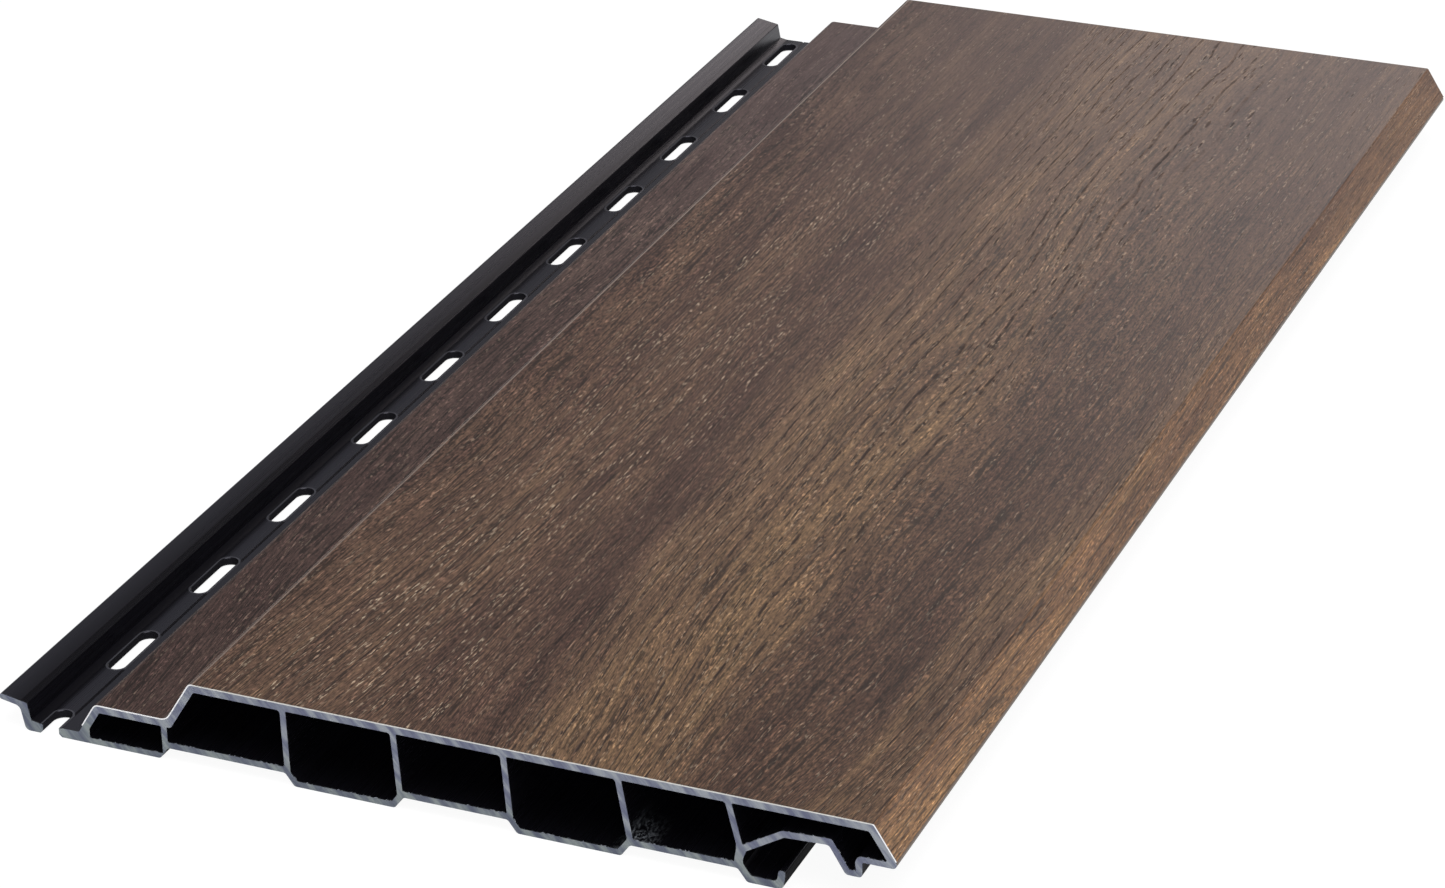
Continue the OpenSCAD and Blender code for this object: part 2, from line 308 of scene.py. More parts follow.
@dataclass(frozen=True)
class Grain:
    """Size of one grain pattern in millimetres, across and along the grain, and its place in the noise."""

    across: float
    along: float
    seed: float
    detail: float = 2.0

    def read(self, maths: Maths, across: Value, along: Value) -> Socket:
        """Read the pattern.

        Args:
            maths: Sums in the material's tree.
            across: Place across the grain in millimetres.
            along: Place along it in millimetres.

        Returns:
            Noise from 0 to 1.
        """
        place = maths.place(maths.sum("DIVIDE", across, self.across), maths.sum("DIVIDE", along, self.along),
                            self.seed)
        return maths.noise(place, self.detail, 0.55)


@dataclass(frozen=True)
class Marks:
    """Spindle-shaped marks strewn along the grain, at most one in each cell.

    A cell's size across and along and a mark's greatest half width are in millimetres. Share says how
    many of the cells hold a mark, and a mark is as many times longer than wide as its cell is.
    """

    across: float
    along: float
    half_width: float
    share: float
    seed: float

    def read(self, maths: Maths, across: Value, along: Value) -> tuple[Socket, Socket]:
        """Read the marks.

        Args:
            maths: Sums in the material's tree.
            across: Place across the grain in millimetres.
            along: Place along it in millimetres.

        Returns:
            Depth of the marks and height of the rims around them, both from 0 to 1.
        """
        place = maths.place(maths.sum("ADD", maths.sum("DIVIDE", across, self.across), self.seed),
                            maths.sum("DIVIDE", along, self.along))
        cell = add_node(maths.tree, "TexVoronoi", {"Vector": place, "Scale": 1.0}, voronoi_dimensions="2D")
        chance = add_node(maths.tree, "SeparateColor", {0: cell.outputs["Color"]}).outputs[0]
        reach = self.half_width / self.across
        size = maths.smooth(chance, 1.0 - self.share, 1.0, 0.0, reach)
        inside = maths.minus(size, cell.outputs["Distance"])
        depth = maths.smooth(inside, 0.0, 0.45 * reach)
        rim = maths.minus(maths.smooth(inside, -1.3 * reach, -0.3 * reach), depth)
        rim = maths.times(rim, maths.smooth(size, 0.2 * reach, 0.5 * reach))
        return depth, rim


@dataclass(frozen=True)
class FilmPlace:
    """What the film's finish reads at one place, with lengths in millimetres.

    Flat is the way across the unrolled film and flow the way across the grain. Band is the golden share.
    Cloud, streak, fibre and fuzz are noise around zero, from coarse to fine. Dash and fleck break up what
    would else run on along the grain. On_step is 1 on the step, and lush is 1 where the pores are large.
    """

    x: Value
    y: Value
    z: Value
    flat: Value
    flow: Value
    band: Value
    cloud: Value
    streak: Value
    fibre: Value
    fuzz: Value
    dash: Value
    fleck: Value
    on_step: Value
    lush: Value


@dataclass(frozen=True)
class OakFilm:
    """PVC film printed as smoked oak and embossed with open pores.

    The print gives golden and dark bands with fine streaks. The embossing gives dark pores in wavy rows,
    and small glints beside them are painted highlights in the colour, thickest in one zone.
    """

    sizes: PanelSizes
    tones: tuple[tuple[float, str], ...] = (
        (0.0, "#3e2923"), (0.32, "#4f3930"), (0.62, "#624a3b"), (1.0, "#7e634b"))
    pore: str = "#2c1b14"
    wisp: str = "#94765a"
    # Colour of the painted highlights on the pores' rims
    painted_glint: str = "#d8c2a6"
    # Colour of the painted highlights along the face's ridge and the step's corner
    edge_highlight: str = "#94857c"
    edge: str = "#a39b9c"
    # Painted light on the print: shade on the step near the end, sheen on it far off and on the step's outer
    # wall
    painted_step_shade: tuple[float, float, float] = (0.73, 0.71, 0.80)
    painted_step_sheen: tuple[float, float, float] = (1.12, 1.18, 1.32)
    painted_wall_sheen: tuple[float, float, float] = (1.16, 1.28, 1.34)
    warm_tint: tuple[float, float, float] = (1.0, 0.98, 0.86)
    cool_tint: tuple[float, float, float] = (1.02, 1.06, 1.16)
    # Painted light on the right slope
    painted_slope_light: tuple[float, float, float] = (1.55, 1.42, 1.20)
    core_flat: str = "#d2d2ce"
    core_slope: str = "#f4f4f6"
    roughness: float = 0.43
    # Strength of the parts of the print, and the least that its level falls to
    print_strength: tuple[float, float, float] = (0.7, 0.85, 0.5)
    fuzz_strength: float = 2.9
    fibre_strength: float = 1.3
    groove_strength: float = 1.1
    rib_strength: float = 1.0
    wisp_strength: float = 0.25
    # Strength of the painted glints inside their zone and outside it
    painted_glint_strength: tuple[float, float] = (0.45, 0.06)
    thread_range: tuple[float, float] = (0.50, 0.62)
    darkest: float = 0.38
    # How much calmer the fuzz is on the step and in golden bands, and the pores on the step and the slope
    step_calm: float = 1.2
    lush_calm: float = 0.9
    side_calm: float = 0.4
    # Along the panel, where print and pores start to calm and end, and what is left of each at the far end;
    # the pores' fade is a painted sheen that veils the far end
    calm_mm: tuple[float, float] = (10.0, 210.0)
    far_print: float = 0.42
    far_pores: float = 0.65
    # Along the panel, where the near bands turn into the far ones, and the clouds' sway across
    band_turn_mm: tuple[float, float] = (-170.0, 130.0)
    band_sway_mm: float = 9.0
    step_mm: tuple[float, float] = (-10.0, -7.0)
    slow_wave: Grain = Grain(36.0, 170.0, 3.1, 1.0)
    quick_wave: Grain = Grain(9.0, 48.0, 8.4, 1.0)
    wave_mm: tuple[float, float] = (9.0, 1.1)
    cloud: Grain = Grain(10.0, 80.0, 9.0)
    streak: Grain = Grain(1.5, 45.0, 5.0)
    fibre: Grain = Grain(0.40, 8.0, 1.0)
    groove: Grain = Grain(0.55, 40.0, 31.0, 1.0)
    rib: Grain = Grain(0.55, 40.0, 37.0, 1.0)
    dash: Grain = Grain(0.90, 5.5, 41.0, 1.0)
    fleck: Grain = Grain(0.50, 2.4, 43.0, 1.0)
    fuzz: Grain = Grain(0.36, 1.9, 23.0, 1.0)
    pores: tuple[Marks, ...] = (Marks(1.15, 17.0, 0.20, 0.75, 0.0), Marks(1.9, 34.0, 0.24, 0.6, 40.0))
    lush_pores: Marks = Marks(2.3, 27.0, 0.34, 0.85, 80.0)
    wisps: Marks = Marks(1.9, 34.0, 0.26, 0.7, 120.0)
    ticks: Marks = Marks(1.5, 5.2, 0.36, 0.9, 160.0)
    tick_slant: float = 0.14
    row_sway: Grain = Grain(0.13, 30.0, 6.0, 1.0)
    row_dash: Grain = Grain(0.137, 19.0, 2.0, 1.0)
    highlight_patch: Grain = Grain(9.0, 42.0, 21.0, 1.0)
    row_mm: float = 4.6
    row_pore_mm: float = 0.31
    pore_deep_mm: float = 0.07
    fibre_high_mm: float = 0.03
    lean: float = 0.13
    lean_reach_mm: float = 150.0
    # Middle of each band across the developed film from the face's left edge, its golden share near and far
    bands: tuple[tuple[float, float, float], ...] = (
        (-42, 0.20, 0.20), (-8, 0.24, 0.22), (4, 0.52, 0.36), (30, 0.60, 0.44), (56, 0.42, 0.36),
        (74, 0.28, 0.55), (92, 0.74, 0.66), (118, 0.78, 0.60), (133, 0.30, 0.38), (147, 0.24, 0.34),
        (158, 0.60, 0.40), (176, 0.62, 0.50), (190, 0.95, 0.85))

    def golden_share(self, maths: Maths, across: Value, near: bool) -> Socket:
        """Golden share of the bands at a place across the film.

        Args:
            maths: Sums in the material's tree.
            across: Place across the developed film in millimetres.
            near: Whether the bands are those of the near end or of the far end.

        Returns:
            The share from 0 to 1.
        """
        low, high = self.bands[0][0], self.bands[-1][0]
        place = maths.sum("DIVIDE", maths.minus(across, low), high - low)
        shares = [(at, at_near if near else at_far) for at, at_near, at_far in self.bands]
        stops = [((at - low) / (high - low), (share, share, share, 1.0)) for at, share in shares]
        return maths.ramp(place, stops, ease=True)

    def developed(self, maths: Maths, x: Value, z: Value) -> Socket:
        """Unroll the film, so that the print keeps its scale on the slopes.

        Args:
            maths: Sums in the material's tree.
            x: Place across the panel in millimetres.
            z: Place up the panel in millimetres.

        Returns:
            Place across the unrolled film in millimetres, from the face's left edge.
        """
        side = maths.minus(maths.times(maths.sum("GREATER_THAN", x, 0.0), 2.0), 1.0)
        fall = maths.times(maths.minus(self.sizes.thick, z), self.sizes.wrap())
        return maths.scaled(side, fall, maths.minus(x, self.sizes.face_left))

    def flow(self, maths: Maths, flat: Value, y: Value) -> Socket:
        """Follow the grain: it leans near the sawn end and straightens, with slow and quick waves.

        Args:
            maths: Sums in the material's tree.
            flat: Place across the developed film in millimetres.
            y: Place along the panel in millimetres.

        Returns:
            Place across the grain in millimetres.
        """
        way = maths.sum("DIVIDE", maths.sum("ADD", y, self.sizes.half_length), self.lean_reach_mm)
        way = maths.sum("MINIMUM", maths.sum("MAXIMUM", way, 0.0), 1.0)
        run = maths.times(way, maths.scaled(way, -0.5, 1.0))
        turn = maths.sum("COSINE", maths.times(maths.minus(flat, 26.0), math.tau / 130))
        shift = maths.times(maths.times(turn, run), -self.lean * self.lean_reach_mm)
        leaned = maths.sum("ADD", flat, shift)
        slow, quick = (wave.read(maths, leaned, y) for wave in (self.slow_wave, self.quick_wave))
        for wave, reach in zip((slow, quick), self.wave_mm):
            leaned = maths.scaled(maths.minus(wave, 0.5), reach, leaned)
        return leaned

    def row_pores(self, maths: Maths, across: Value, y: Value) -> Socket:
        """Pores in rows: long dashes whose ends taper, and short slanted ticks near the sawn end.

        Args:
            maths: Sums in the material's tree.
            across: Place across the grain in millimetres.
            y: Place along the panel in millimetres.

        Returns:
            Depth of the pores from 0 to 1.
        """
        rows = maths.sum("DIVIDE", across, self.row_mm)
        row = maths.sum("FLOOR", rows)
        sway = self.row_sway.read(maths, row, y)
        middle = maths.scaled(maths.minus(sway, 0.5), 0.6, 0.5)
        off = maths.gap(maths.sum("FRACT", rows), middle)
        dash = self.row_dash.read(maths, row, y)
        wide = maths.smooth(dash, 0.32, 0.52, -0.3 * self.row_pore_mm, self.row_pore_mm)
        past = maths.minus(maths.times(off, self.row_mm), wide)
        long = maths.smooth(past, -0.22, 0.12, 1.0, 0.0)
        ticks, _ = self.ticks.read(maths, maths.scaled(y, self.tick_slant, across), y)
        ticks = maths.times(ticks, maths.smooth(off, 0.10, 0.24, 1.0, 0.0))
        where = maths.times(maths.smooth(across, 45.0, 80.0), maths.smooth(y, -40.0, 120.0, 1.0, 0.0))
        return maths.sum("MAXIMUM", long, maths.times(ticks, where))

    def highlight_zone(self, maths: Maths, across: Value, y: Value) -> Socket:
        """Share of the wisps and the painted glints: patchy, and thickest in one painted highlight zone left
        of the middle.

        Args:
            maths: Sums in the material's tree.
            across: Place across the grain in millimetres.
            y: Place along the panel in millimetres.

        Returns:
            The share from 0 to 1.
        """
        patch = maths.smooth(self.highlight_patch.read(maths, across, y), 0.36, 0.60, 0.25, 1.0)
        zone = maths.times(maths.smooth(across, 2.0, 22.0), maths.smooth(across, 52.0, 74.0, 1.0, 0.0))
        zone = maths.times(zone, maths.smooth(y, 90.0, 170.0, 1.0, 0.15))
        plain = maths.smooth(across, -6.0, 4.0, 0.1, 0.25)
        return maths.times(patch, maths.scaled(zone, 0.75, plain))

    def read_place(self, maths: Maths) -> FilmPlace:
        """Read what the finish goes by.

        Args:
            maths: Sums in the material's tree.

        Returns:
            The readings at the place that is shaded.
        """
        x, y, z = maths.object_mm()
        flat = self.developed(maths, x, z)
        flow = self.flow(maths, flat, y)
        cloud, streak, fibre, fuzz = (maths.minus(grain.read(maths, flow, y), 0.5)
                                      for grain in (self.cloud, self.streak, self.fibre, self.fuzz))
        shifted = maths.scaled(cloud, self.band_sway_mm, flow)
        band = maths.blend(maths.smooth(y, *self.band_turn_mm), self.golden_share(maths, shifted, True),
                           self.golden_share(maths, shifted, False))
        return FilmPlace(
            x=x, y=y, z=z, flat=flat, flow=flow, band=band,
            cloud=cloud, streak=streak, fibre=fibre, fuzz=fuzz,
            dash=maths.smooth(self.dash.read(maths, flow, y), 0.40, 0.60, 0.15, 1.1),
            fleck=maths.smooth(self.fleck.read(maths, flow, y), 0.50, 0.66, 0.0, 1.5),
            on_step=maths.smooth(flat, *self.step_mm, 1.0, 0.0),
            lush=maths.smooth(band, 0.40, 0.62, 0.05, 0.9))

    def tinted(self, maths: Maths, at: FilmPlace, colour: Value) -> Socket:
        """Tint the print by zone: painted shade on the step near the end turning to painted sheen far off,
        painted sheen on the outer wall, painted light on the right slope, a warm right half and a cool far
        left corner.

        Args:
            maths: Sums in the material's tree.
            at: Readings at the place.
            colour: Colour of the print.

        Returns:
            The tinted colour.
        """
        # Painted shade on the step near the end, turning to painted sheen far off
        step = maths.blend(maths.smooth(at.y, -160.0, 230.0), (*self.painted_step_shade, 1.0), (*self.painted_step_sheen, 1.0))
        corner = self.sizes.step_corner
        right_half = maths.times(maths.smooth(at.flat, 60.0, 110.0),
                                 maths.smooth(at.y, -60.0, 180.0, 1.0, 0.3))
        far_left = maths.times(maths.smooth(at.flat, 20.0, 80.0, 1.0, 0.0),
                               maths.smooth(at.y, 20.0, 200.0))
        face_w = self.sizes.face_w
        zones = (
            (at.on_step, step),
            (maths.smooth(at.x, corner - 0.5, corner, 1.0, 0.0), (*self.painted_wall_sheen, 1.0)),
            (maths.smooth(at.flat, face_w - 0.2, face_w + 0.6), (*self.painted_slope_light, 1.0)),
            (right_half, (*self.warm_tint, 1.0)),
            (far_left, (*self.cool_tint, 1.0)))
        for share, tint in zones:
            colour = maths.blend(share, colour, tint, "MULTIPLY")
        return colour

    def printed(self, maths: Maths, at: FilmPlace) -> Socket:
        """Draw the print: golden and dark bands, clouds, streaks and fibres, dark grooves and pale ribs.

        Args:
            maths: Sums in the material's tree.
            at: Readings at the place.

        Returns:
            The print's colour.
        """
        golden = at.band
        for part, strength in zip((at.cloud, at.streak, at.fibre), self.print_strength):
            golden = maths.scaled(part, strength, golden)
        tone = maths.ramp(golden, [(place, linear(colour)) for place, colour in self.tones])
        groove, rib = (maths.smooth(grain.read(maths, at.flow, at.y), *self.thread_range)
                       for grain in (self.groove, self.rib))
        groove, rib = maths.times(groove, at.dash), maths.times(rib, at.fleck)
        rough = maths.scaled(at.on_step, -self.step_calm,
                             maths.scaled(at.lush, -self.lush_calm, self.fuzz_strength))
        level = maths.scaled(at.fuzz, rough, maths.times(at.fibre, self.fibre_strength))
        level = maths.scaled(rib, self.rib_strength, level)
        level = maths.scaled(groove, -self.groove_strength, level)
        calm = maths.smooth(at.y, *self.calm_mm, 1.0, self.far_print)
        level = maths.scaled(level, calm, maths.smooth(at.y, -200.0, 0.0, 0.98, 1.03))
        level = maths.sum("MAXIMUM", level, self.darkest)
        colour = add_node(maths.tree, "VectorMath", {0: tone, "Scale": level}, operation="SCALE")
        return self.tinted(maths, at, colour.outputs[0])

    def embossed(self, maths: Maths, at: FilmPlace, colour: Value) -> tuple[Socket, Socket]:
        """Press the pores: rows of them where the print is golden, thin ones all over, with painted
        highlights on their rims.

        Args:
            maths: Sums in the material's tree.
            at: Readings at the place.
            colour: Colour of the print.

        Returns:
            The colour with pores, wisps and painted glints, and the pores' depth from 0 to 1.
        """
        large, rims = self.lush_pores.read(maths, at.flow, at.y)
        pores = maths.sum("MAXIMUM", self.row_pores(maths, at.flow, at.y), large)
        pores, rims = maths.times(pores, at.lush), maths.times(rims, at.lush)
        shallow = maths.smooth(at.band, 0.28, 0.58, 0.35, 0.85)
        for marks in self.pores:
            mark, rim = marks.read(maths, at.flow, at.y)
            pores = maths.sum("MAXIMUM", pores, maths.times(mark, shallow))
            rims = maths.sum("MAXIMUM", rims, rim)
        pores = maths.times(pores, maths.smooth(at.dash, 0.15, 1.0, 0.45, 1.0))
        past_face = maths.smooth(at.flat, self.sizes.face_w - 2.0, self.sizes.face_w + 2.0)
        side = maths.sum("MAXIMUM", at.on_step, past_face)
        # Fading the pores towards the far end paints the sheen that veils them there
        depth = maths.times(maths.smooth(at.y, *self.calm_mm, 1.0, self.far_pores),
                            maths.scaled(side, -self.side_calm, 1.0))
        colour = maths.blend(maths.times(pores, depth), colour, linear(self.pore))
        # Painted highlights: glints on the pores' rims, thickest in one zone
        lit = self.highlight_zone(maths, at.flow, at.y)
        # The wisps are pale print laid only in the painted highlight zone, so they add to the painted
        # highlight there
        wisp, _ = self.wisps.read(maths, at.flow, at.y)
        wisp = maths.times(maths.times(wisp, lit), self.wisp_strength)
        colour = maths.blend(wisp, colour, linear(self.wisp))
        painted_glint = maths.scaled(lit, *self.painted_glint_strength)
        painted_glint = maths.times(maths.times(rims, at.fleck), painted_glint)
        return maths.blend(maths.sum("MINIMUM", painted_glint, 1.0), colour, linear(self.painted_glint)), pores

    def edge_highlights_and_cut(self, maths: Maths, at: FilmPlace, colour: Value) -> Socket:
        """Paint pale highlights along the ridge of the face and the corner of the step, brighter towards the
        far end, and show the film's cut edges.

        Args:
            maths: Sums in the material's tree.
            at: Readings at the place.
            colour: Colour of the film.

        Returns:
            The film's colour, with its own pale edge on the sawn ends, duller along the face.
        """
        sizes = self.sizes
        corner = sizes.step_corner - sizes.face_left - sizes.step_drop * sizes.wrap()
        # Painted highlights along the ridge and the step's corner, stronger towards the far end
        for place, strength in ((0.0, 0.6), (corner, 0.4)):
            off = maths.gap(at.flat, place)
            strongest = maths.smooth(at.y, -200.0, 60.0, strength, strength + 0.25)
            colour = maths.blend(maths.smooth(off, 0.08, 0.34, strongest, 0.0), colour, linear(self.edge_highlight))
        low_edge = maths.times(maths.smooth(at.z, sizes.film_low, sizes.film_low + 0.6, 0.9, 0.0),
                               maths.sum("LESS_THAN", at.x, 0.0))
        colour = maths.blend(low_edge, colour, linear(self.edge))
        off = maths.gap(at.flat, sizes.face_w / 2)
        core = maths.blend(maths.sum("LESS_THAN", off, sizes.face_w / 2), linear(self.core_slope),
                           linear(self.core_flat))
        return maths.blend(sizes.sawn(maths, at.y), colour, core)

    def material(self) -> bpy.types.Material:
        """Build the film's material.

        Returns:
            The material.
        """
        material, maths = new_material("oak-print PVC film, embossed")
        at = self.read_place(maths)
        colour, pores = self.embossed(maths, at, self.printed(maths, at))
        height = maths.times(pores, -self.pore_deep_mm * MM)
        height = maths.scaled(maths.sum("ADD", at.fibre, at.fuzz), self.fibre_high_mm * MM, height)
        maths.shade(height, {"Base Color": self.edge_highlights_and_cut(maths, at, colour), "IOR": 1.5,
                             "Roughness": maths.scaled(pores, 0.2, self.roughness)})
        return material


@dataclass(frozen=True)
class BlackPvc:
    """Hard black PVC, extruded to a satin skin and sawn across at the ends.

    The die leaves faint lines along the skin. The saw leaves a dull blue-grey face with slanted marks,
    and its dust clings to the walls just inside.
    """

    sizes: PanelSizes
    skin: str = "#060609"
    die_line: str = "#0e0d12"
    tip: str = "#66533f"
    # Colour of the painted sheen on the flange floor and the lip's top
    painted_sheen_grey: str = "#2b2b31"
    # Colour of the painted highlight ring around the slots
    slot_highlight: str = "#5c5c63"
    sheen: tuple[float, float, float] = (0.86, 0.84, 1.0)
    sawn_light: str = "#92979e"
    sawn_mid: str = "#767b8a"
    sawn_dark: str = "#5f6379"
    low_tint: tuple[float, float, float] = (0.84, 0.88, 0.80)
    dust: str = "#7d8288"
    roughness: float = 0.28
    cut_roughness: float = 0.72
    punched_roughness: float = 0.9
    specular: float = 0.45
    die_mm: float = 0.7
    mark_mm: float = 2.3
    scratch_mm: float = 0.4
    scratch_deep_mm: float = 0.05
    mark_slant_deg: float = 40.0
    # Surfaces with a painted sheen: top of the flange floor with the places across where the painted sheen
    # starts and ends, and the lip's top with the same
    floor_mm: float = 2.5
    tip_mm: tuple[float, float] = (0.55, 0.25)
    floor_sheen_mm: tuple[float, float] = (-105.6, -103.0)
    lip_mm: float = 7.9
    lip_sheen_mm: tuple[float, float] = (-115.5, -110.5)
    # The slots: middle across, length and width, pitch, and one slot of each of the two runs with the
    # place where the runs meet
    slot_x_mm: float = -102.42
    slot_mm: tuple[float, float] = (20.0, 4.5)
    slot_pitch_mm: float = 42.0
    slot_runs_mm: tuple[float, float] = (-67.5, -116.0)
    runs_meet_mm: float = -91.75
    # Middle of the painted highlight ring outside a slot's wall, and how far the sheared walls and that ring
    # reach
    slot_highlight_mm: float = 0.45
    slot_reach_mm: float = 1.6
    # Corner where the most dust lies: across and up, and its reach across, up and in from the end
    dust_corner_mm: tuple[float, float] = (52.0, 5.0)
    dust_reach_mm: tuple[float, float, float] = (7.0, 5.0, 14.0)
    dust_line_mm: tuple[float, float] = (0.1, 0.6)

    def cut_colour(self, maths: Maths, x: Value, z: Value) -> tuple[Socket, Socket]:
        """Colour of the sawn face: slanted bands with fine scratches between them.

        Args:
            maths: Sums in the material's tree.
            x: Place across the panel in millimetres.
            z: Place up the panel in millimetres.

        Returns:
            The colour, and the scratches from 0 to 1.
        """
        slant = math.radians(self.mark_slant_deg)
        over = maths.sum("ADD", maths.times(x, math.cos(slant)), maths.times(z, math.sin(slant)))
        down = maths.minus(maths.times(z, math.cos(slant)), maths.times(x, math.sin(slant)))
        bands = Grain(self.mark_mm, 16.0, 0.0, 1.0).read(maths, over, down)
        scratches = Grain(self.scratch_mm, 3.0, 3.0).read(maths, over, down)
        mark = maths.smooth(bands, 0.30, 0.70)
        mark = maths.scaled(maths.minus(scratches, 0.5), 1.1, mark, clamp=True)
        tones = (self.sawn_dark, self.sawn_mid, self.sawn_light)
        colour = maths.ramp(mark, [(0.5 * i, linear(tone)) for i, tone in enumerate(tones)])
        low = maths.smooth(z, 4.0, 11.0, 1.0, 0.0)
        return maths.blend(low, colour, (*self.low_tint, 1.0), "MULTIPLY"), scratches

    @staticmethod
    def facing_up(maths: Maths) -> Socket:
        """Say how far the face looks up, from -1 to 1."""
        normal = add_node(maths.tree, "NewGeometry").outputs["True Normal"]
        return add_node(maths.tree, "SeparateXYZ", {0: normal}).outputs[2]

    def painted_sheen_share(self, maths: Maths, x: Value, z: Value) -> Socket:
        """Say where a grey sheen is painted on the flange floor, away from the lip's wall, and on the top of
        the lip.

        Args:
            maths: Sums in the material's tree.
            x: Place across the panel in millimetres.
            z: Place up the panel in millimetres.

        Returns:
            Share of the painted sheen's colour from 0 to 1.
        """
        flat = maths.sum("GREATER_THAN", self.facing_up(maths), 0.9)
        on_floor = maths.sum("LESS_THAN", maths.gap(z, self.floor_mm), 0.05)
        on_floor = maths.times(on_floor, maths.smooth(x, *self.floor_sheen_mm))
        on_floor = maths.times(on_floor, maths.sum("LESS_THAN", x, self.sizes.step_corner))
        on_lip = maths.times(maths.sum("GREATER_THAN", z, self.lip_mm),
                             maths.sum("LESS_THAN", x, self.floor_sheen_mm[0]))
        on_lip = maths.times(on_lip, maths.smooth(x, *self.lip_sheen_mm, 0.8, 0.35))
        return maths.times(flat, maths.sum("ADD", on_floor, on_lip))

    def slot_walls_and_highlight(self, maths: Maths, x: Value, y: Value, z: Value) -> tuple[Socket, Socket]:
        """Say where the punch sheared the slots' walls, and where a pale ring is painted around each slot as
        a highlight.

        Args:
            maths: Sums in the material's tree.
            x: Place across the panel in millimetres.
            y: Place along it in millimetres.
            z: Place up it in millimetres.

        Returns:
            Shares from 0 to 1 of the sheared walls in the slots and of the painted highlight ring around
            them.
        """
        steep = maths.sum("ABSOLUTE", self.facing_up(maths))
        later, first = self.slot_runs_mm
        start = maths.scaled(maths.sum("GREATER_THAN", y, self.runs_meet_mm), later - first, first)
        turn = maths.sum("ADD", maths.sum("DIVIDE", maths.minus(y, start), self.slot_pitch_mm), 0.5)
        along = maths.gap(maths.sum("FRACT", turn), 0.5)
        long, wide = self.slot_mm
        past = maths.minus(maths.times(along, self.slot_pitch_mm), (long - wide) / 2)
        across = maths.minus(x, self.slot_x_mm)
        off = maths.sum("POWER", maths.sum("MAXIMUM", past, 0.0), 2.0)
        off = maths.sum("SQRT", maths.scaled(across, across, off))
        off = maths.minus(off, wide / 2)
        low = maths.sum("LESS_THAN", z, self.floor_mm + 0.1)
        beside = maths.times(maths.sum("LESS_THAN", off, self.slot_reach_mm), low)
        walls = maths.times(maths.sum("LESS_THAN", steep, 0.4), beside)
        # Painted highlight: a pale ring just outside each slot's rim
        ring = maths.smooth(maths.gap(off, self.slot_highlight_mm), 0.10, 0.34, 1.0, 0.0)
        return walls, maths.times(ring, beside)

    def dust_share(self, maths: Maths, x: Value, y: Value, z: Value) -> Socket:
        """Say where saw dust lies on the skin: in a faint line at the ends and a patch in one corner.

        Args:
            maths: Sums in the material's tree.
            x: Place across the panel in millimetres.
            y: Place along it in millimetres.
            z: Place up it in millimetres.

        Returns:
            Share of the dust from 0 to 1.
        """
        grains = maths.noise(maths.place(maths.sum("DIVIDE", x, 0.8), maths.sum("DIVIDE", y, 1.6),
                                         maths.sum("DIVIDE", z, 0.8)), 3.0, 0.7)
        inward = maths.minus(self.sizes.half_length, maths.sum("ABSOLUTE", y))
        corner_x, corner_z = self.dust_corner_mm
        reach_x, reach_z, reach_y = self.dust_reach_mm
        patch = maths.smooth(maths.gap(x, corner_x), 0.0, reach_x, 1.0, 0.0)
        patch = maths.times(patch, maths.smooth(maths.minus(z, corner_z), 0.0, reach_z, 1.0, 0.0))
        patch = maths.times(patch, maths.smooth(inward, 0.0, reach_y, 1.0, 0.0))
        line = maths.smooth(inward, *self.dust_line_mm, 0.3, 0.0)
        cover = maths.sum("MAXIMUM", patch, line)
        return maths.times(cover, maths.smooth(grains, 0.44, 0.62))

    def material(self) -> bpy.types.Material:
        """Build the board's material.

        Returns:
            The material.
        """
        material, maths = new_material("black PVC, extruded and sawn")
        x, y, z = maths.object_mm()
        sawn = self.sizes.sawn(maths, y)
        cut, scratches = self.cut_colour(maths, x, z)
        die = maths.noise(maths.place(maths.sum("DIVIDE", x, self.die_mm), maths.sum("DIVIDE", y, 400.0),
                                      maths.sum("DIVIDE", z, self.die_mm)), 2.0)
        skin = maths.blend(die, linear(self.skin), linear(self.die_line))
        walls, slot_highlight_share = self.slot_walls_and_highlight(maths, x, y, z)
        # Painted sheen on the upward faces of the flange floor and the lip's top
        skin = maths.blend(self.painted_sheen_share(maths, x, z), skin, linear(self.painted_sheen_grey))
        # Painted highlight ring around the slots
        skin = maths.blend(maths.times(slot_highlight_share, 0.5), skin, linear(self.slot_highlight))
        far_side = self.sizes.tip - self.tip_mm[0]
        tip = maths.smooth(x, far_side, self.sizes.tip - self.tip_mm[1], 0.0, 0.9)
        skin = maths.blend(tip, skin, linear(self.tip))
        dust = self.dust_share(maths, x, y, z)
        skin = maths.blend(maths.times(dust, 0.8), skin, linear(self.dust))

        rough = maths.scaled(maths.minus(die, 0.5), 0.14, self.roughness)
        dull = maths.times(maths.sum("MAXIMUM", sawn, dust), self.cut_roughness)
        rough = maths.sum("MAXIMUM", rough, dull)
        rough = maths.sum("MAXIMUM", rough, maths.times(walls, self.punched_roughness))
        height = maths.times(maths.times(scratches, sawn), self.scratch_deep_mm * MM)
        maths.shade(height, {"Base Color": maths.blend(sawn, skin, cut), "Roughness": rough, "IOR": 1.53,
                             "Specular Tint": (*self.sheen, 1.0), "Specular IOR Level": self.specular})
        return material


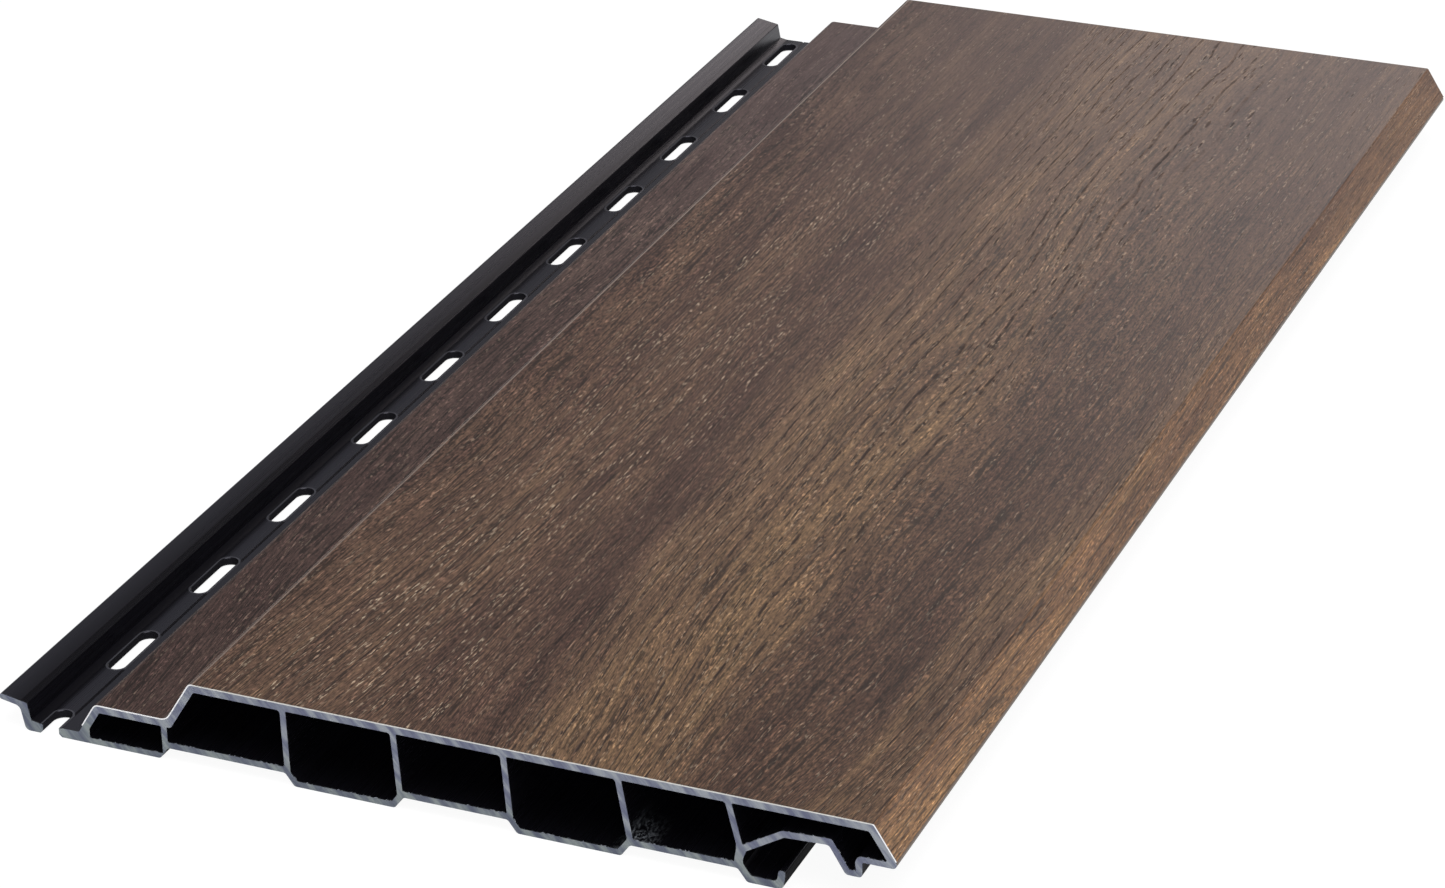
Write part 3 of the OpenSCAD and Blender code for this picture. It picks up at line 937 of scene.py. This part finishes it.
@dataclass(frozen=True)
class TornPvc:
    """Thin torn slivers of the same PVC: stress-whitened, so paler and duller than the skin."""

    pale: str = "#8d929c"
    grey: str = "#565a64"
    roughness: float = 0.7
    mottle_mm: float = 0.5
    mottle_high_mm: float = 0.05

    def material(self) -> bpy.types.Material:
        """Build the slivers' material.

        Returns:
            The material.
        """
        material, maths = new_material("black PVC, torn and stress-whitened")
        ways = (maths.sum("DIVIDE", way, self.mottle_mm) for way in maths.object_mm())
        mottle = maths.noise(maths.place(*ways), 2.0)
        colour = maths.blend(maths.smooth(mottle, 0.38, 0.62), linear(self.grey), linear(self.pale))
        maths.shade(maths.times(mottle, self.mottle_high_mm * MM),
                    {"Base Color": colour, "Roughness": self.roughness, "IOR": 1.53})
        return material


def dress(node: str, material: bpy.types.Material) -> None:
    """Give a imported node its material.

    Args:
        node: Name of the node.
        material: Its new material.
    """
    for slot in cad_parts[node].material_slots:
        slot.material = material
    LOG.info("%s wears %s", node, material.name)


@dataclass(frozen=True)
class EdgePlace:
    """A place on the edge of a sawn wall: the point, the way along the edge and the way off the wall."""

    point: Vector
    along: Vector
    off: Vector


@dataclass
class SawBurrs:
    """Ragged slivers that the saw left along the floors of the chambers at one end."""

    end: SawnEnd
    half_length: float
    finish: bpy.types.Material
    long_mm: float = 0.8
    high_mm: float = 0.14
    thick_mm: float = 0.12
    sunk_mm: float = 0.05
    spacing_mm: float = 2.0
    # Least and greatest share of the pattern's length, thickness and height
    size_shares: tuple[tuple[float, float], ...] = ((0.4, 1.5), (0.8, 1.4), (0.35, 1.3))
    # An edge is a floor's where the way off the wall points up at least this much
    least_rise: float = 0.4
    seed: int = 7

    def edge_loops(self) -> list[list[EdgePlace]]:
        """Read the closed loops of edges around the sawn face.

        Returns:
            One list for each loop, with its edges' middles, ways along and ways off the wall. The way along
            is as long as the edge.
        """
        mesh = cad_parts["hollow_board"].data
        plane = self.end.value * self.half_length * MM
        sides: dict[tuple, list[tuple[Vector, Vector, Vector]]] = {}
        for face in mesh.polygons:
            corners = [mesh.vertices[i].co for i in face.vertices]
            if any(abs(corner.y - plane) > 0.01 * MM for corner in corners):
                continue
            for i, start in enumerate(corners):
                end, third = corners[(i + 1) % len(corners)], corners[(i + 2) % len(corners)]
                key = tuple(sorted((round(c.x, 7), round(c.z, 7)) for c in (start, end)))
                sides.setdefault(key, []).append((start, end, third))
        ends: dict[tuple[float, float], list[tuple]] = {}
        rim = sorted(key for key, uses in sides.items() if len(uses) == 1)
        for key in rim:
            for corner in key:
                ends.setdefault(corner, []).append(key)
        loops, left = [], set(rim)
        for first in rim:
            if first not in left:
                continue
            stack, loop = [first], []
            while stack:
                key = stack.pop()
                if key not in left:
                    continue
                left.remove(key)
                start, end, third = sides[key][0]
                off = (end - start).normalized().cross(Vector((0, 1, 0)))
                if off.dot(third - start) > 0:
                    off = -off
                loop.append(EdgePlace((start + end) / 2, end - start, off))
                stack.extend(other for corner in key for other in ends[corner] if other in left)
            loops.append(loop)
        return loops

    def edge_places(self) -> list[EdgePlace]:
        """Pick places on the floors of the closed chambers, spaced along their edges.

        Returns:
            The places, the same each time for one seed.
        """
        rng = random.Random(self.seed + self.end.value)
        places = []
        for loop in self.edge_loops():
            middle = sum((edge.point for edge in loop), Vector()) / len(loop)
            if sum(edge.off.dot(middle - edge.point) * edge.along.length for edge in loop) < 0:
                continue
            for edge in loop:
                count = edge.along.length / (self.spacing_mm * MM)
                for _ in range(int(count) + (rng.random() < count % 1)):
                    point = edge.point + edge.along * rng.uniform(-0.5, 0.5)
                    if edge.off.z > self.least_rise:
                        places.append(EdgePlace(point, edge.along.normalized(), edge.off))
        return places

    def sliver(self) -> bpy.types.Object:
        """Model one sliver: a thin tooth that rises off the wall, narrows and curls in from the end.

        Returns:
            The pattern for the copies.
        """
        bpy.ops.object.select_all(action="DESELECT")
        bpy.ops.mesh.primitive_cube_add(size=1.0)
        tooth = bpy.context.object
        tooth.name = "saw_sliver"
        long, thick, high = self.long_mm * MM, self.thick_mm * MM, self.high_mm * MM / 3
        bpy.ops.object.mode_set(mode="EDIT")
        bpy.ops.mesh.select_all(action="SELECT")
        bpy.ops.transform.resize(value=(long, thick, high))
        bpy.ops.transform.translate(value=(0.0, 0.0, high / 2))
        for taper, curl in ((0.72, 0.35), (0.50, 0.75)):
            self.select_top(tooth)
            rise = (long * 0.04, thick * curl, high)
            bpy.ops.mesh.extrude_region_move(TRANSFORM_OT_translate={"value": rise})
            bpy.ops.transform.resize(value=(taper, 0.7, 1.0))
        bpy.ops.mesh.select_all(action="SELECT")
        bpy.ops.mesh.bevel(offset=thick * 0.12, segments=1)
        bpy.ops.object.mode_set(mode="OBJECT")
        bpy.ops.object.shade_smooth_by_angle(angle=math.radians(40))
        return tooth

    @staticmethod
    def select_top(piece: bpy.types.Object) -> None:
        """Select only the highest face of a mesh in edit mode.

        Args:
            piece: The object in edit mode.
        """
        mesh = bmesh.from_edit_mesh(piece.data)
        top = max(mesh.faces, key=lambda face: face.calc_center_median().z)
        for face in mesh.faces:
            face.select_set(False)
        top.select_set(True)
        mesh.select_flush_mode()
        bmesh.update_edit_mesh(piece.data)

    def build(self) -> None:
        """Copy the sliver along the edges and join the copies."""
        pattern = self.sliver()
        rng = random.Random(self.seed * 11 + self.end.value)
        inward = Vector((0.0, -float(self.end.value), 0.0))
        copies = []
        for place in self.edge_places():
            copy = pattern.copy()
            copy.data = pattern.data.copy()
            turn = Matrix((place.along, inward, place.off)).transposed().to_4x4()
            size = Matrix.Diagonal((*(rng.uniform(*share) for share in self.size_shares), 1.0))
            root = place.point + inward * (self.thick_mm * 1.2 * MM) - place.off * (self.sunk_mm * MM)
            copy.data.transform(Matrix.Translation(root) @ turn @ size)
            bpy.context.scene.collection.objects.link(copy)
            copies.append(copy)
        bpy.data.objects.remove(pattern)
        bpy.ops.object.select_all(action="DESELECT")
        for copy in copies:
            copy.select_set(True)
        bpy.context.view_layer.objects.active = copies[0]
        bpy.ops.object.join()
        piece = bpy.context.object
        piece.name = piece.data.name = f"saw_burrs_{self.end.name.lower()}"
        bpy.ops.object.mode_set(mode="EDIT")
        bpy.ops.mesh.select_all(action="SELECT")
        bpy.ops.mesh.normals_make_consistent(inside=False)
        bpy.ops.object.mode_set(mode="OBJECT")
        piece.data.materials.clear()
        piece.data.materials.append(self.finish)
        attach(piece, BODY)
        LOG.info("%s: %d slivers", piece.name, len(copies))


@dataclass
class HollowBoard:
    """The extruded board with its sawn ends."""

    sizes: PanelSizes

    def build(self) -> None:
        """Dress the board and add the burrs of both ends."""
        dress("hollow_board", BlackPvc(self.sizes).material())
        torn = TornPvc().material()
        for end in SawnEnd:
            SawBurrs(end, self.sizes.half_length, torn).build()


@dataclass
class DecorFilm:
    """The wood-look film on the face, the slope and the step."""

    sizes: PanelSizes

    def build(self) -> None:
        """Dress the film."""
        dress("decor_film", OakFilm(self.sizes).material())


@dataclass(frozen=True)
class PhotoCamera:
    """Camera at the photograph's place: a long lens that looks down along the panel."""

    eye: tuple[float, float, float] = (0.41216, -1.01681, 0.53656)
    target: tuple[float, float, float] = (0.00616, -0.07863, 0.0223)
    roll_deg: float = -1.16
    lens: float = 109.22
    sensor_width: float = 36.0

    def build(self) -> None:
        """Add the camera and make it the scene's."""
        data = bpy.data.cameras.new("photo_camera")
        data.lens, data.sensor_width, data.sensor_fit = self.lens, self.sensor_width, "HORIZONTAL"
        data.clip_start, data.clip_end = 0.05, 60.0
        camera = bpy.data.objects.new("photo_camera", data)
        bpy.context.scene.collection.objects.link(camera)
        turn = (Vector(self.eye) - Vector(self.target)).to_track_quat("Z", "Y").to_matrix().to_4x4()
        roll = Matrix.Rotation(math.radians(self.roll_deg), 4, "Z")
        camera.matrix_world = Matrix.Translation(self.eye) @ turn @ roll
        bpy.context.scene.camera = camera


@dataclass(frozen=True)
class SoftBox:
    """One square studio lamp."""

    name: str
    place: tuple[float, float, float]
    aim: tuple[float, float, float]
    size: float
    power: float
    tint: str = "#ffffff"

    def build(self) -> None:
        """Add the lamp."""
        data = bpy.data.lights.new(self.name, "AREA")
        data.shape, data.size, data.energy = "SQUARE", self.size, self.power
        data.color = linear(self.tint)[:3]
        lamp = bpy.data.objects.new(self.name, data)
        bpy.context.scene.collection.objects.link(lamp)
        lamp.location = self.place
        lamp.rotation_euler = (Vector(self.place) - Vector(self.aim)).to_track_quat("Z", "Y").to_euler()


@dataclass
class Studio:
    """White floor and sweep, plain soft light."""

    floor_radius: float = 25.0
    # A hair of room under the board, so that its underside and the floor don't flicker where they touch
    floor_gap_mm: float = 0.02
    lamps: tuple[SoftBox, ...] = (
        SoftBox("overhead_softbox", (0.5, -0.5, 1.9), (0.0, 0.0, 0.0), 1.6, 28.0),
        SoftBox("front_softbox", (0.9, -2.4, 0.9), (0.0, 0.0, 0.0), 1.2, 20.0),
        SoftBox("back_softbox", (-0.30, 3.0, 0.95), (0.05, 0.2, 0.0), 1.3, 10.0, "#fff4f2"),
    )
    sky: float = 0.36

    def seen(self, maths: Maths) -> Socket:
        """Pick the rays that see the white background: camera, glossy and transmission rays.

        Args:
            maths: Sums in the floor's tree.

        Returns:
            1 for such rays and 0 for others.
        """
        path = add_node(maths.tree, "LightPath")
        glossy = maths.sum("MAXIMUM", path.outputs["Is Glossy Ray"], path.outputs["Is Transmission Ray"])
        return maths.sum("MAXIMUM", path.outputs["Is Camera Ray"], glossy)

    def outside(self, maths: Maths) -> Socket:
        """Say how much of the floor's glow reflections see: little under the panel, where this dimming is a
        painted shade.

        Args:
            maths: Sums in the floor's tree.

        Returns:
            The share from 0 to 1.
        """
        x, y, _ = maths.object_mm()
        low, high = CAD_BOX[0], CAD_BOX[1]
        past_x = maths.minus(maths.sum("ABSOLUTE", x), (high[0] - low[0]) / 2 / MM)
        past_y = maths.minus(maths.sum("ABSOLUTE", y), (high[1] - low[1]) / 2 / MM)
        return maths.smooth(maths.sum("MAXIMUM", past_x, past_y), -2.0, 12.0, 0.05, 1.0)

    def build_floor(self) -> None:
        """Add the floor: white to the eye, with the object's soft shadow."""
        bpy.ops.mesh.primitive_circle_add(vertices=64, radius=self.floor_radius, fill_type="NGON")
        floor = bpy.context.object
        floor.name = "studio_floor"
        floor.location.z = -self.floor_gap_mm * MM
        material, maths = new_material("white studio floor")
        tree = maths.tree
        plain = add_node(tree, "BsdfDiffuse", {"Color": linear("#e6e6e6")})
        shade = add_node(tree, "BsdfDiffuse", {"Color": (0.12, 0.12, 0.12, 1.0)})
        camera = add_node(tree, "LightPath").outputs["Is Camera Ray"]
        # Reflections see the glow dimmed under the panel: a painted shade
        strength = maths.times(maths.sum("MAXIMUM", camera, self.outside(maths)), 0.93)
        glow = add_node(tree, "Emission", {"Color": (1.0, 1.0, 1.0, 1.0), "Strength": strength})
        lit = add_node(tree, "AddShader", {0: shade.outputs[0], 1: glow.outputs[0]})
        both = add_node(tree, "MixShader", {0: self.seen(maths), 1: plain.outputs[0], 2: lit.outputs[0]})
        add_node(tree, "OutputMaterial", {"Surface": both.outputs[0]})
        floor.data.materials.append(material)

    def build_world(self) -> None:
        """Make the world: white where the camera sees it, a pale sweep below a dim ceiling elsewhere."""
        world = bpy.data.worlds.new("studio")
        world.use_nodes = True
        tree = world.node_tree
        tree.nodes.clear()
        maths = Maths(tree)
        path = add_node(tree, "LightPath")
        up = add_node(tree, "SeparateXYZ", {0: add_node(tree, "TexCoord").outputs["Generated"]}).outputs[2]
        sweep = maths.smooth(up, 0.20, 0.50, 0.40, 0.05)
        glossy = maths.times(path.outputs["Is Glossy Ray"], sweep)
        plain = maths.minus(1.0, path.outputs["Is Glossy Ray"])
        level = maths.scaled(plain, self.sky, glossy)
        level = maths.sum("MAXIMUM", level, path.outputs["Is Camera Ray"])
        back = add_node(tree, "Background", {"Color": (1.0, 1.0, 1.0, 1.0), "Strength": level})
        add_node(tree, "OutputWorld", {"Surface": back.outputs[0]})
        bpy.context.scene.world = world

    def build(self) -> None:
        """Add the floor, the world and the lamps."""
        self.build_floor()
        self.build_world()
        for lamp in self.lamps:
            lamp.build()
        bpy.context.scene.view_settings.view_transform = "Standard"


def main() -> None:
    """Build the camera, the studio and the finishes."""
    logging.basicConfig(level=logging.INFO, format="%(name)s: %(message)s")
    bpy.ops.object.select_all(action="DESELECT")
    PhotoCamera().build()
    Studio().build()
    sizes = PanelSizes.from_frame()
    HollowBoard(sizes).build()
    DecorFilm(sizes).build()


if __name__ == "__main__":
    main()
